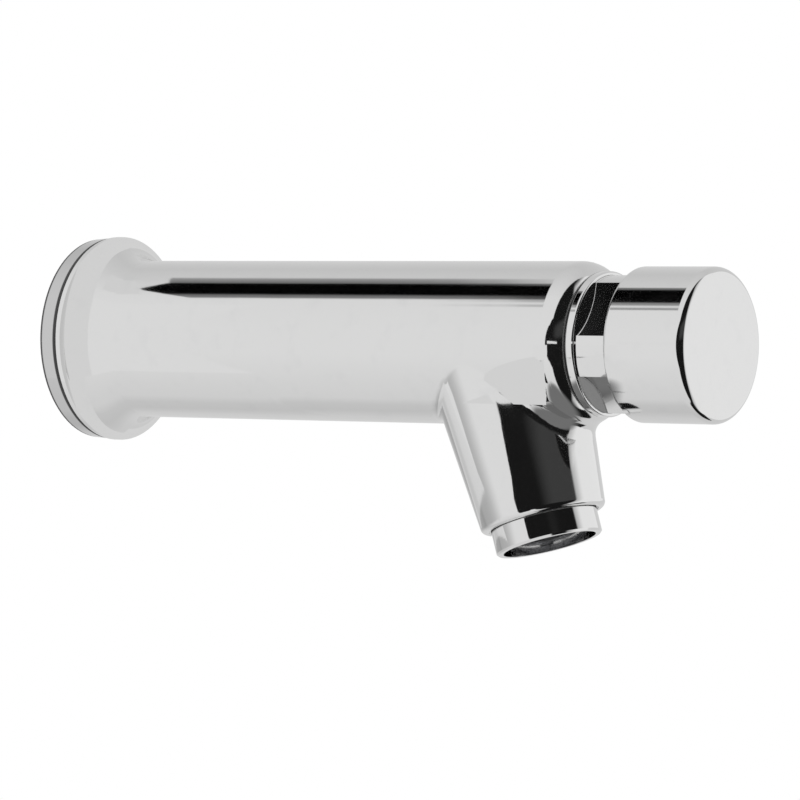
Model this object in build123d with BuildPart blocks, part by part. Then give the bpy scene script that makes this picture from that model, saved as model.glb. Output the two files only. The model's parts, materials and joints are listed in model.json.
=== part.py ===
from build123d import *
import os
from math import cos, pi, radians, sin, sqrt

# Push timed tap for a wall, in millimetres.
# X runs out of the wall along the tap's axis, Z is up, and the origin is where that axis
# meets the wall. The wall is the plane X = 0 and the inlet spigot reaches behind it.
# Every piece on the axis is turned from an outline of (x, radius) corners. The spout's pieces
# are turned the same way about the spout's own axis, from (distance along it, radius) corners.

os.makedirs("parts", exist_ok=True)

# Outside of the body
tube_r = 19.0
tube_length = 134.3
flange_r = 24.8
flange_rim = 1.2
flare_length = 9.7
end_round = 6.0

# Spout
spout_setback = 22.3
spout_tilt = 17.8
spout_length = 42.75
spout_root_step = 0.3
spout_mouth_r = 14.6
spout_rim_round = 1.3
spout_blend = 4.0
waterway_r = 10.0

# Wall ring and its gasket
wall_ring_depth = 4.5
wall_ring_inset = 0.2
wall_ring_taper = 0.3
wall_ring_bore_gap = 1.0
shadow_gap = 0.6
shadow_reach = 1.4
gasket_width = 6.0
gasket_margin = 2.8
gasket_depth = 2.0

# Inlet spigot, with a G 1/2 pipe thread behind the wall and a finer thread into the body
pipe_thread_r = 10.4775
pipe_pitch = 1.814
pipe_thread_depth = 1.162
spigot_front_r = 10.0
spigot_front_pitch = 1.5
spigot_front_depth = 0.8
spigot_out = 16.0
spigot_grip = 13.5
spigot_bore_r = 7.0
spigot_key_r = 7.2
spigot_key_depth = 7.0
spigot_waist = 1.2
seal_thickness = 1.5

# Inlet strainer
strainer_brim = 0.5
strainer_wall = 0.6
strainer_gap = 0.4
strainer_length = 18.0
strainer_hole_r = 0.8
strainer_rows = 6
strainer_holes = 10

# Body bores, from the wall to the front
port_r = 7.5
port_wall = 2.0
chamber_wall = 5.0
chamber_taper = 4.0
land_r = 12.0
land_length = 10.0
front_bore_r = 15.0
front_land = 0.7

# Cartridge cage
cage_tail = 8.0
cage_length = 32.0
cage_r = 13.2
cage_bore_r = 10.5
cage_front_bore_r = 11.4
cage_seat_step = 2.0
window_start = 12.0
window_length = 14.0
window_width = 7.0
window_count = 6
cage_ring_station = 3.0
cage_ring_section = 0.9

# Valve seat, guide spider and spring seat
seat_thickness = 3.0
seat_hole_r = 7.4
seat_lip_inner_r = 7.9
seat_lip_width = 0.8
seat_lip_height = 0.8
spider_thickness = 3.0
spider_hole_r = 1.45
spider_hole_ring_r = 7.6
spider_hole_count = 8
clip_thickness = 1.1
clip_grip = 0.5
clip_width = 1.7
clip_mouth = 6.0

# Stem
stem_r = 3.0
stem_tail_r = 2.5
stem_front_r = 4.0
stem_thread_pitch = 1.0
stem_thread_depth = 0.5
stem_tail_spare = 1.0

# Valve on the stem's tail
valve_r = 9.2
valve_thickness = 3.0
carrier_floor = 2.0
carrier_rim = 0.6
carrier_rim_reach = 1.8
nut_flat_r = 4.0
nut_thickness = 3.0

# Timing piston
piston_r = 11.0
piston_thickness = 6.0
piston_stop_gap = 0.5
piston_seal_width = 3.2
piston_seal_depth = 2.4
piston_clip_r = 4.5
piston_clip_groove = 0.6
bleed_hole_r = 0.95
bleed_ring_r = 7.2
metering_pin_r = 0.6
metering_pin_spare = 4.0
metering_pin_grip = 2.5

# Return spring
spring_mean_r = 5.5
spring_wire_r = 0.65
spring_end_pitch = 1.9
spring_turns = 10

# Bonnet, which screws into the body and carries the neck that shows
neck_r = 15.8
neck_length = 17.2
neck_wall = 1.6
flat_r = 14.0
flat_turn = 33.0
bonnet_grip = 13.8
bonnet_ring_section = 2.0
bonnet_ring_setback = 1.0
bonnet_thread_pitch = 1.5
bonnet_thread_depth = 0.8
cylinder_r = 11.3
cylinder_depth = 5.2
web_thickness = 3.5
hub_r = 7.5
bush_r = 6.0
bush_shoulder = 1.2
bush_shoulder_r = 5.0
cage_gasket_thickness = 1.0
cage_gasket_width = 1.5

# Stem bush, its rings and the wiper
bush_length = 5.2
bush_ring_section = 1.4
wiper_thickness = 1.8
hub_clip_thickness = 0.9
hub_clip_r = 5.0

# Collar ring between the body and the neck
collar_r = 16.7
collar_gap = 0.6
collar_width = 2.0
collar_round = 0.6

# Push button
button_r = 17.8
button_rest_gap = 1.3
button_length = 20.9
button_wall = 1.6
button_face_wall = 2.2
button_back_round = 1.0
button_front_round = 2.0
insert_boss_r = 6.5
insert_ring_station = 1.2
insert_floor = 0.6
insert_ring_section = 1.5
push_stroke = 7.0

# Aerator in the spout's mouth
aerator_thread_r = 12.0
aerator_thread_pitch = 1.0
aerator_thread_depth = 0.5
aerator_grip = 7.5
aerator_washer_thickness = 1.5
aerator_skirt_r = 12.45
aerator_skirt_length = 5.7
aerator_mouth_r = 10.9
aerator_mouth_depth = 4.85
aerator_lip = 1.0
aerator_lip_r = 9.6
aerator_bore_r = 10.7
aerator_joint_gap = 0.5
aerator_joint_depth = 0.6
insert_height = 6.1
insert_jet_r = 0.9
insert_jet_count = 14
insert_jet_ring_r = 8.3
insert_grid_width = 1.3
insert_grid_count = 5
regulator_r = 6.0
regulator_height = 2.5
regulator_hole_r = 1.0
regulator_hole_count = 6
screen_thickness = 0.5
screen_hole_r = 0.6
screen_pitch = 2.2
screen_rings = 4

# Clearances and small edges
fit_gap = 0.05
end_gap = 0.4
slide_gap = 0.05
edge = 0.4
overrun = 1.0

# Stations along the tap's axis, worked out from the lengths above
body_back = wall_ring_depth
socket_end = body_back + spigot_grip + strainer_brim + seal_thickness
chamber_start = socket_end + port_wall
tube_end = body_back + shadow_gap + tube_length
end_land_r = front_bore_r + front_land
chamber_r = tube_r - chamber_wall
body_front = tube_end + sqrt(end_round**2 - (end_land_r - (tube_r - end_round)) ** 2)
spout_station = tube_end - spout_setback
spout_root_r = tube_r - spout_root_step
bonnet_back = body_front - bonnet_grip
cage_front = bonnet_back - cage_gasket_thickness
land_end = cage_front - cage_length
land_start = land_end - land_length
cage_back = land_end - cage_tail
seat_back = land_end + cage_seat_step
seat_front = seat_back + seat_thickness
seat_lip = seat_back - seat_lip_height
spider_front = seat_front + spider_thickness
spigot_front = body_back + spigot_grip
cylinder_end = body_front + cylinder_depth
web_front = cylinder_end + web_thickness
neck_front = body_front + neck_length
piston_front = cylinder_end - piston_stop_gap
piston_back = piston_front - piston_thickness
collar_back = body_front + collar_gap
collar_front = collar_back + collar_width
button_back = collar_front + push_stroke + button_rest_gap
button_front = button_back + button_length
insert_front = button_front - button_face_wall
bush_back = cylinder_end + bush_shoulder
bush_front = bush_back + bush_length
wiper_back = bush_front + hub_clip_thickness
hub_front = wiper_back + wiper_thickness
insert_back = neck_front + push_stroke + end_gap
boss_back = hub_front + push_stroke + end_gap
carrier_back = seat_lip - valve_thickness - carrier_floor
nut_back = carrier_back - nut_thickness
socket_r = spigot_front_r + fit_gap
wall_ring_front_r = flange_r - wall_ring_inset
wall_ring_back_r = wall_ring_front_r - wall_ring_taper
gasket_outer_r = wall_ring_back_r - gasket_margin
gasket_inner_r = gasket_outer_r - gasket_width
wall_ring_bore_r = pipe_thread_r + wall_ring_bore_gap
neck_bore_r = flat_r - neck_wall

# The spout's own frame: its origin is on the tap's axis and its Z runs down the spout
spout_x = Vector(cos(radians(spout_tilt)), 0, sin(radians(spout_tilt)))
spout_z = Vector(sin(radians(spout_tilt)), 0, -cos(radians(spout_tilt)))
spout_frame = Plane(origin=(spout_station, 0, 0), x_dir=spout_x, z_dir=spout_z)
spout_section = Plane(origin=(spout_station, 0, 0), x_dir=spout_z, z_dir=(0, 1, 0))
spout_axis = Axis((spout_station, 0, 0), spout_z)
mouth_seat = spout_length - aerator_joint_depth
housing_top = mouth_seat - aerator_grip
recess_top = housing_top - aerator_washer_thickness
housing_end = spout_length + aerator_skirt_length
lip_bottom = housing_end - aerator_mouth_depth
lip_top = lip_bottom - aerator_lip
insert_top = lip_top - insert_height
recess_r = aerator_thread_r + fit_gap


def turn(*corners, mode=Mode.ADD):
    """Turn a closed outline of (x, radius) corners about the tap's axis."""
    with BuildSketch(Plane.XZ) as section:
        with BuildLine():
            Polyline(*corners, close=True)
        make_face()
    revolve(section.sketch, axis=Axis.X, mode=mode)


def turn_spout(*corners, mode=Mode.ADD):
    """Turn a closed outline of (distance, radius) corners about the spout's axis."""
    with BuildSketch(spout_section) as section:
        with BuildLine():
            Polyline(*corners, close=True)
        make_face()
    revolve(section.sketch, axis=spout_axis, mode=mode)


def tube(back, front, inner, outer):
    """Corners of a plain ring from back to front."""
    return (back, inner), (front, inner), (front, outer), (back, outer)


def thread(start, end, crest, pitch, depth):
    """Corners of a row of ring grooves that stands for a thread, from start to end."""
    corners = []
    for turn_number in range(int((end - start) / pitch)):
        root = start + (turn_number + 1 / 2) * pitch
        corners += [(root - pitch / 4, crest), (root, crest - depth), (root + pitch / 4, crest)]
    return corners


def o_ring(station, centre_r, section_r):
    """A round-section ring about the tap's axis."""
    with BuildSketch(Plane.XZ) as section:
        with Locations((station, centre_r)):
            Circle(section_r)
    revolve(section.sketch, axis=Axis.X)


def coil_point(share):
    """Point on the spring's centre line, and the way it runs there, at a share of its turns."""
    end_share = 1 / spring_turns
    run = piston_back - spider_front - 2 * spring_wire_r
    middle = run - 2 * spring_end_pitch
    first = min(share, end_share) * spring_turns * spring_end_pitch
    last = max(share - 1 + end_share, 0) * spring_turns * spring_end_pitch
    between = min(max(share - end_share, 0), 1 - 2 * end_share) / (1 - 2 * end_share) * middle
    angle = 2 * pi * spring_turns * share
    place = spider_front + spring_wire_r + first + between + last
    return Vector(place, spring_mean_r * cos(angle), spring_mean_r * sin(angle))


def coil_arcs(points):
    """Two tangent arcs from each point of the coil to the next."""
    runs = []
    for index, point in enumerate(points):
        angle = pi / 2 * index
        before = points[max(index - 1, 0)]
        after = points[min(index + 1, len(points) - 1)]
        steps = min(index + 1, len(points) - 1) - max(index - 1, 0)
        climb = (after.X - before.X) / (steps * pi / 2)
        runs.append(Vector(climb, -spring_mean_r * sin(angle), spring_mean_r * cos(angle)).normalized())
    for start, end, leave, arrive in zip(points, points[1:], runs, runs[1:]):
        chord = end - start
        both = leave + arrive
        lead = chord.dot(both)
        rest = 4 - both.dot(both)
        reach = (sqrt(lead**2 + rest * chord.dot(chord)) - lead) / rest
        early = start + leave * reach
        late = end - arrive * reach
        joint = (early + late) * (1 / 2)
        TangentArc(start, joint, tangent=leave)
        TangentArc(joint, end, tangent=late - early)


# Body: one casting with the flange, the tube and the spout
with BuildPart() as body:
    with BuildSketch(Plane.XZ):
        with BuildLine():
            flare_end = body_back + shadow_gap + flange_rim + flare_length
            Polyline(
                (body_front, end_land_r),
                (body_front, 0),
                (body_back, 0),
                (body_back, flange_r - shadow_reach),
                (body_back + shadow_gap, flange_r - shadow_reach),
                (body_back + shadow_gap, flange_r),
                (flare_end - flare_length, flange_r),
            )
            EllipticalCenterArc(
                (flare_end, flange_r), flare_length, flange_r - tube_r, start_angle=180, arc_size=90
            )
            Line((flare_end, tube_r), (tube_end, tube_r))
            RadiusArc((tube_end, tube_r), (body_front, end_land_r), end_round)
        make_face()
    revolve(axis=Axis.X)
    with BuildSketch(spout_frame.offset(spout_length)):
        Circle(spout_mouth_r)
    with BuildSketch(spout_frame):
        Circle(spout_root_r)
    loft()
    fillet(body.edges(Select.LAST).filter_by(GeomType.BSPLINE), spout_blend)
    fillet(body.edges().filter_by(GeomType.CIRCLE).sort_by(Axis.Z)[0], spout_rim_round)
    turn(
        (body_back, 0),
        (body_back, socket_r),
        (socket_end, socket_r),
        (socket_end, port_r),
        (chamber_start, port_r),
        (chamber_start + chamber_taper, chamber_r),
        (land_start - chamber_taper, chamber_r),
        (land_start, land_r),
        (land_end, land_r),
        (land_end, front_bore_r),
        (body_front, front_bore_r),
        (body_front, 0),
        mode=Mode.SUBTRACT,
    )
    turn_spout(
        (0, 0),
        (0, waterway_r),
        (recess_top, waterway_r),
        (recess_top, recess_r),
        (mouth_seat, recess_r),
        (mouth_seat, aerator_skirt_r + aerator_joint_gap),
        (spout_length, aerator_skirt_r + aerator_joint_gap),
        (spout_length, 0),
        mode=Mode.SUBTRACT,
    )
body.part.label = "body"
export_step(body.part, "parts/body.step")

# Wall ring: the thin ring between the flange and the wall
with BuildPart() as wall_ring:
    turn(
        (0, wall_ring_bore_r),
        (0, gasket_inner_r),
        (gasket_depth, gasket_inner_r),
        (gasket_depth, gasket_outer_r),
        (0, gasket_outer_r),
        (0, wall_ring_back_r),
        (wall_ring_depth - edge, wall_ring_front_r),
        (wall_ring_depth, wall_ring_front_r - edge),
        (wall_ring_depth, wall_ring_bore_r),
    )
wall_ring.part.label = "wall_ring"
export_step(wall_ring.part, "parts/wall_ring.step")

# Wall gasket: the rubber ring in the wall ring's back
with BuildPart() as wall_gasket:
    turn(*tube(0, gasket_depth, gasket_inner_r + fit_gap, gasket_outer_r - fit_gap))
wall_gasket.part.label = "wall_gasket"
export_step(wall_gasket.part, "parts/wall_gasket.step")

# Inlet spigot: screws into the body and into the wall's outlet, with a hexagon for its key
with BuildPart() as inlet_spigot:
    turn(
        (-spigot_out, 0),
        (-spigot_out, pipe_thread_r - pipe_thread_depth),
        (pipe_thread_depth - spigot_out, pipe_thread_r),
        *thread(
            pipe_thread_depth - spigot_out, -spigot_waist, pipe_thread_r, pipe_pitch, pipe_thread_depth
        ),
        (spigot_waist, pipe_thread_r),
        (spigot_waist, spigot_front_r - spigot_front_depth),
        (body_back + spigot_waist, spigot_front_r - spigot_front_depth),
        (body_back + spigot_waist, spigot_front_r),
        *thread(
            body_back + spigot_waist,
            spigot_front - edge,
            spigot_front_r,
            spigot_front_pitch,
            spigot_front_depth,
        ),
        (spigot_front - edge, spigot_front_r),
        (spigot_front, spigot_front_r - edge),
        (spigot_front, 0),
    )
    turn(*tube(-spigot_out - overrun, spigot_front + overrun, 0, spigot_bore_r), mode=Mode.SUBTRACT)
    with BuildSketch(Plane.YZ.offset(-spigot_out)):
        RegularPolygon(radius=spigot_key_r, side_count=6, major_radius=False)
    extrude(amount=spigot_key_depth, mode=Mode.SUBTRACT)
inlet_spigot.part.label = "inlet_spigot"
export_step(inlet_spigot.part, "parts/inlet_spigot.step")

# Inlet strainer: a perforated cup in the spigot's bore, held by its brim
strainer_r = spigot_bore_r - strainer_gap
strainer_end = spigot_front - strainer_length
with BuildPart() as inlet_strainer:
    turn(
        (strainer_end, 0),
        (strainer_end, strainer_r),
        (spigot_front, strainer_r),
        (spigot_front, spigot_front_r - edge),
        (spigot_front + strainer_brim, spigot_front_r - edge),
        (spigot_front + strainer_brim, strainer_r - strainer_wall),
        (strainer_end + strainer_wall, strainer_r - strainer_wall),
        (strainer_end + strainer_wall, 0),
    )
    for row in range(strainer_rows):
        station = strainer_end + (row + 1) * strainer_length / (strainer_rows + 1)
        with BuildSketch(Plane.XY):
            with Locations((station, 0)):
                Circle(strainer_hole_r)
        holes = extrude(amount=spigot_bore_r, both=True, mode=Mode.PRIVATE)
        for hole in range(strainer_holes // 2):
            add(holes.rotate(Axis.X, hole * 360 / strainer_holes), mode=Mode.SUBTRACT)
inlet_strainer.part.label = "inlet_strainer"
export_step(inlet_strainer.part, "parts/inlet_strainer.step")

# Spigot seal: the flat washer that the spigot presses on the body's shoulder
with BuildPart() as spigot_seal:
    turn(*tube(spigot_front + strainer_brim, socket_end, port_r, spigot_front_r - edge))
spigot_seal.part.label = "spigot_seal"
export_step(spigot_seal.part, "parts/spigot_seal.step")

# Cartridge cage: sits on the body's step, holds the seat and lets the water out to the spout
cage_ring_back = cage_back + cage_ring_station
cage_ring_front = cage_ring_back + cage_ring_section + 2 * fit_gap
cage_ring_groove_r = land_r - cage_ring_section - 2 * fit_gap
with BuildPart() as cartridge_cage:
    turn(
        (cage_back, cage_bore_r),
        (cage_back, land_r - fit_gap - edge),
        (cage_back + edge, land_r - fit_gap),
        (cage_ring_back, land_r - fit_gap),
        (cage_ring_back, cage_ring_groove_r),
        (cage_ring_front, cage_ring_groove_r),
        (cage_ring_front, land_r - fit_gap),
        (land_end, land_r - fit_gap),
        (land_end, cage_r),
        (cage_front, cage_r),
        (cage_front, cage_front_bore_r),
        (seat_back, cage_front_bore_r),
        (seat_back, cage_bore_r),
    )
    turn(
        *tube(spider_front, spider_front + clip_thickness, 0, cage_front_bore_r + clip_grip),
        mode=Mode.SUBTRACT,
    )
    with BuildSketch(Plane.XY):
        with Locations((land_end + window_start, 0)):
            Rectangle(window_length, window_width, align=(Align.MIN, Align.CENTER))
    slot = extrude(amount=cage_r + overrun, mode=Mode.PRIVATE)
    for window in range(window_count):
        add(slot.rotate(Axis.X, window * 360 / window_count), mode=Mode.SUBTRACT)
cartridge_cage.part.label = "cartridge_cage"
export_step(cartridge_cage.part, "parts/cartridge_cage.step")

# Cage ring: the round ring that seals the cage's tail in the body
with BuildPart() as cage_ring:
    o_ring(
        (cage_ring_back + cage_ring_front) / 2,
        land_r - fit_gap - cage_ring_section / 2,
        cage_ring_section / 2,
    )
cage_ring.part.label = "cage_ring"
export_step(cage_ring.part, "parts/cage_ring.step")

# Valve seat: its lip faces the wall, so the supply's pressure helps to keep the valve shut
with BuildPart() as valve_seat:
    turn(
        (seat_back, seat_hole_r),
        (seat_back, seat_lip_inner_r),
        (seat_lip, seat_lip_inner_r),
        (seat_lip, seat_lip_inner_r + seat_lip_width),
        (seat_back, seat_lip_inner_r + seat_lip_width),
        (seat_back, cage_front_bore_r - fit_gap),
        (seat_front, cage_front_bore_r - fit_gap),
        (seat_front, seat_hole_r),
    )
valve_seat.part.label = "valve_seat"
export_step(valve_seat.part, "parts/valve_seat.step")

# Stem spider: guides the stem, carries the spring and lets the water through its holes
spring_bore_r = spring_mean_r - spring_wire_r
with BuildPart() as stem_spider:
    turn(
        (seat_front, stem_r + slide_gap),
        (seat_front, cage_front_bore_r - fit_gap),
        (spider_front, cage_front_bore_r - fit_gap),
        (spider_front, spring_bore_r - end_gap),
        (spider_front + spring_end_pitch, spring_bore_r - end_gap),
        (spider_front + spring_end_pitch, stem_r + slide_gap),
    )
    with BuildSketch(Plane.YZ.offset(seat_front)):
        with PolarLocations(spider_hole_ring_r, spider_hole_count):
            Circle(spider_hole_r)
    extrude(amount=spider_thickness, mode=Mode.SUBTRACT)
stem_spider.part.label = "stem_spider"
export_step(stem_spider.part, "parts/stem_spider.step")

# Spider clip: the split ring that holds the seat and the spider in the cage
with BuildPart() as spider_clip:
    clip_outer_r = cage_front_bore_r + clip_grip - fit_gap
    turn(*tube(spider_front, spider_front + clip_thickness, clip_outer_r - clip_width, clip_outer_r))
    with BuildSketch(Plane.YZ.offset(spider_front)):
        with Locations((0, clip_outer_r)):
            Rectangle(clip_mouth, clip_outer_r)
    extrude(amount=clip_thickness, mode=Mode.SUBTRACT)
spider_clip.part.label = "spider_clip"
export_step(spider_clip.part, "parts/spider_clip.step")

# Stem: one rod from the valve to the button
tail_end = nut_back - stem_tail_spare
stem_front = insert_front - insert_floor - edge
with BuildPart() as stem:
    turn(
        (tail_end, 0),
        (tail_end, stem_tail_r - edge),
        (tail_end + edge, stem_tail_r),
        *thread(tail_end + edge, carrier_back, stem_tail_r, stem_thread_pitch, stem_thread_depth),
        (seat_lip, stem_tail_r),
        (seat_lip, stem_r),
        (piston_back - clip_thickness, stem_r),
        (piston_back - clip_thickness, stem_r - piston_clip_groove),
        (piston_back, stem_r - piston_clip_groove),
        (piston_back, stem_r),
        (piston_front, stem_r),
        (piston_front, stem_front_r),
        (boss_back, stem_front_r),
        (boss_back, stem_r),
        *thread(boss_back, stem_front - edge, stem_r, stem_thread_pitch, stem_thread_depth),
        (stem_front - edge, stem_r),
        (stem_front, stem_r - edge),
        (stem_front, 0),
    )
stem.part.label = "stem"
export_step(stem.part, "parts/stem.step")

# Valve washer: the rubber disc that shuts on the seat's lip
with BuildPart() as valve_washer:
    turn(*tube(seat_lip - valve_thickness, seat_lip, stem_tail_r + fit_gap, valve_r))
valve_washer.part.label = "valve_washer"
export_step(valve_washer.part, "parts/valve_washer.step")

# Valve carrier: the cup behind the washer
with BuildPart() as valve_carrier:
    carrier_floor_front = carrier_back + carrier_floor
    turn(
        (carrier_back, stem_tail_r + fit_gap),
        (carrier_back, valve_r + fit_gap + carrier_rim),
        (carrier_floor_front + carrier_rim_reach, valve_r + fit_gap + carrier_rim),
        (carrier_floor_front + carrier_rim_reach, valve_r + fit_gap),
        (carrier_floor_front, valve_r + fit_gap),
        (carrier_floor_front, stem_tail_r + fit_gap),
    )
valve_carrier.part.label = "valve_carrier"
export_step(valve_carrier.part, "parts/valve_carrier.step")

# Valve nut: holds the carrier and the washer on the stem's tail
with BuildPart() as valve_nut:
    with BuildSketch(Plane.YZ.offset(nut_back)):
        RegularPolygon(radius=nut_flat_r, side_count=6, major_radius=False)
        Circle(stem_tail_r + fit_gap, mode=Mode.SUBTRACT)
    extrude(amount=nut_thickness)
valve_nut.part.label = "valve_nut"
export_step(valve_nut.part, "parts/valve_nut.step")

# Timing piston: slides in the bonnet's cylinder, which refills slowly through the bleed hole
piston_seal_back = (piston_back + piston_front - piston_seal_width) / 2
piston_seal_front = piston_seal_back + piston_seal_width
piston_groove_r = piston_r - piston_seal_depth
with BuildPart() as timing_piston:
    turn(
        (piston_back, stem_r + fit_gap),
        (piston_back, piston_r),
        (piston_seal_back, piston_r),
        (piston_seal_back, piston_groove_r),
        (piston_seal_front, piston_groove_r),
        (piston_seal_front, piston_r),
        (piston_front, piston_r),
        (piston_front, stem_r + fit_gap),
    )
    with BuildSketch(Plane.YZ.offset(piston_back)):
        with Locations((0, bleed_ring_r)):
            Circle(bleed_hole_r)
    extrude(amount=piston_thickness, mode=Mode.SUBTRACT)
timing_piston.part.label = "timing_piston"
export_step(timing_piston.part, "parts/timing_piston.step")

# Piston seal: a lip seal that opens towards the button's side
with BuildPart() as piston_seal:
    lip_r = cylinder_r - slide_gap
    leg = piston_seal_depth / 3
    turn(
        (piston_seal_back + fit_gap, piston_groove_r + fit_gap),
        (piston_seal_back + fit_gap, lip_r - leg / 2),
        (piston_seal_front - fit_gap - leg, lip_r),
        (piston_seal_front - fit_gap, lip_r),
        (piston_seal_front - fit_gap, lip_r - leg),
        (piston_seal_back + leg, piston_groove_r + leg),
        (piston_seal_front - fit_gap, piston_groove_r + leg),
        (piston_seal_front - fit_gap, piston_groove_r + fit_gap),
    )
piston_seal.part.label = "piston_seal"
export_step(piston_seal.part, "parts/piston_seal.step")

# Piston clip: the split ring that holds the piston against the stem's shoulder
with BuildPart() as piston_clip:
    turn(
        *tube(piston_back - clip_thickness, piston_back, stem_r - piston_clip_groove + fit_gap, piston_clip_r)
    )
    with BuildSketch(Plane.YZ.offset(piston_back - clip_thickness)):
        with Locations((0, piston_clip_r)):
            Rectangle(stem_r, 2 * piston_clip_r)
    extrude(amount=clip_thickness, mode=Mode.SUBTRACT)
piston_clip.part.label = "piston_clip"
export_step(piston_clip.part, "parts/piston_clip.step")

# Metering pin: stands in the piston's bleed hole and keeps it clean at each push
with BuildPart() as metering_pin:
    pin_back = piston_back - push_stroke - metering_pin_spare
    with BuildSketch(Plane.YZ.offset(pin_back)):
        with Locations((0, bleed_ring_r)):
            Circle(metering_pin_r)
    extrude(amount=cylinder_end + metering_pin_grip - pin_back)
metering_pin.part.label = "metering_pin"
export_step(metering_pin.part, "parts/metering_pin.step")

# Return spring: one wire of closed end turns and open turns between the spider and the piston
with BuildPart() as return_spring:
    coil_points = [coil_point(index / (4 * spring_turns)) for index in range(4 * spring_turns + 1)]
    with BuildLine() as coil:
        coil_arcs(coil_points)
    with BuildSketch(Plane(origin=coil.line @ 0, z_dir=coil.line % 0)):
        Circle(spring_wire_r)
    sweep()
return_spring.part.label = "return_spring"
export_step(return_spring.part, "parts/return_spring.step")
far_pairs = [
    (near, far)
    for number, near in enumerate(coil_points)
    for far in coil_points[number + 2 :]
]
print("spring gap", round(min((far - near).length for near, far in far_pairs) - 2 * spring_wire_r, 2))

# Bonnet: screws into the body, and holds the timing cylinder, the stem's bush and the neck.
# The neck has four flats for a spanner.
bonnet_thread_r = front_bore_r - fit_gap
bonnet_ring_front = body_front - bonnet_ring_setback
bonnet_ring_back = bonnet_ring_front - bonnet_ring_section - 2 * fit_gap
bonnet_ring_groove_r = front_bore_r - bonnet_ring_section - 2 * fit_gap
with BuildPart() as bonnet:
    turn(
        (bonnet_back, cylinder_r),
        (bonnet_back, bonnet_thread_r - edge),
        (bonnet_back + edge, bonnet_thread_r),
        *thread(
            bonnet_back + edge,
            bonnet_ring_back - edge,
            bonnet_thread_r,
            bonnet_thread_pitch,
            bonnet_thread_depth,
        ),
        (bonnet_ring_back, bonnet_thread_r),
        (bonnet_ring_back, bonnet_ring_groove_r),
        (bonnet_ring_front, bonnet_ring_groove_r),
        (bonnet_ring_front, bonnet_thread_r),
        (body_front, bonnet_thread_r),
        (body_front, neck_r),
        (neck_front - edge, neck_r),
        (neck_front, neck_r - edge),
        (neck_front, neck_bore_r),
        (web_front, neck_bore_r),
        (web_front, hub_r),
        (hub_front, hub_r),
        (hub_front, bush_r),
        (wiper_back, bush_r),
        (wiper_back, bush_r + clip_grip),
        (bush_front, bush_r + clip_grip),
        (bush_front, bush_r),
        (bush_back, bush_r),
        (bush_back, bush_shoulder_r),
        (cylinder_end, bush_shoulder_r),
        (cylinder_end, cylinder_r),
    )
    with BuildSketch(Plane.YZ.offset(cylinder_end)):
        with Locations((0, bleed_ring_r)):
            Circle(metering_pin_r + fit_gap)
    extrude(amount=metering_pin_grip, mode=Mode.SUBTRACT)
    with BuildSketch(Plane.YZ.offset(collar_front)):
        Circle(neck_r + overrun)
        Rectangle(2 * flat_r, 2 * flat_r, rotation=-flat_turn, mode=Mode.SUBTRACT)
    extrude(amount=neck_front + overrun - collar_front, mode=Mode.SUBTRACT)
bonnet.part.label = "bonnet"
export_step(bonnet.part, "parts/bonnet.step")

# Bonnet ring: seals the bonnet in the body behind its shoulder
with BuildPart() as bonnet_ring:
    o_ring(
        (bonnet_ring_back + bonnet_ring_front) / 2,
        front_bore_r - fit_gap - bonnet_ring_section / 2,
        bonnet_ring_section / 2,
    )
bonnet_ring.part.label = "bonnet_ring"
export_step(bonnet_ring.part, "parts/bonnet_ring.step")

# Cage gasket: the flat ring that the bonnet presses on the cage
with BuildPart() as cage_gasket:
    turn(*tube(cage_front, bonnet_back, cage_front_bore_r, cage_front_bore_r + cage_gasket_width))
cage_gasket.part.label = "cage_gasket"
export_step(cage_gasket.part, "parts/cage_gasket.step")

# Stem bush and the two round rings in it, which wipe the stem
bush_ring_stations = [bush_back + bush_length * place_share for place_share in (1 / 4, 3 / 4)]
bush_groove_half = bush_ring_section / 2 + fit_gap
bush_bore_r = stem_front_r + slide_gap
with BuildPart() as stem_bush:
    turn(*tube(bush_back, bush_front, bush_bore_r, bush_r - fit_gap))
    for station in bush_ring_stations:
        turn(
            *tube(
                station - bush_groove_half,
                station + bush_groove_half,
                bush_bore_r,
                bush_bore_r + bush_ring_section + fit_gap,
            ),
            mode=Mode.SUBTRACT,
        )
stem_bush.part.label = "stem_bush"
export_step(stem_bush.part, "parts/stem_bush.step")

with BuildPart() as stem_rings:
    for station in bush_ring_stations:
        o_ring(station, bush_bore_r + bush_ring_section / 2, bush_ring_section / 2)
stem_rings.part.label = "stem_rings"
export_step(stem_rings.part, "parts/stem_rings.step")

# Hub clip: the split ring that holds the bush in the bonnet's hub
with BuildPart() as hub_clip:
    turn(*tube(bush_front, wiper_back, hub_clip_r, bush_r + clip_grip - fit_gap))
    with BuildSketch(Plane.YZ.offset(bush_front)):
        with Locations((0, bush_r)):
            Rectangle(hub_clip_r, bush_r)
    extrude(amount=hub_clip_thickness, mode=Mode.SUBTRACT)
hub_clip.part.label = "hub_clip"
export_step(hub_clip.part, "parts/hub_clip.step")

# Stem wiper: keeps dirt out of the bush
with BuildPart() as stem_wiper:
    turn(*tube(wiper_back, hub_front, bush_bore_r, bush_r - fit_gap))
stem_wiper.part.label = "stem_wiper"
export_step(stem_wiper.part, "parts/stem_wiper.step")

# Collar ring: the bright ring on the neck, a narrow gap in front of the body's end
with BuildPart() as collar_ring:
    turn(*tube(collar_back, collar_front, neck_r + fit_gap, collar_r))
    front_edges = collar_ring.edges().filter_by(GeomType.CIRCLE).group_by(Axis.X)[-1]
    fillet(front_edges.sort_by(SortBy.RADIUS)[-1], collar_round)
collar_ring.part.label = "collar_ring"
export_step(collar_ring.part, "parts/collar_ring.step")

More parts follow.
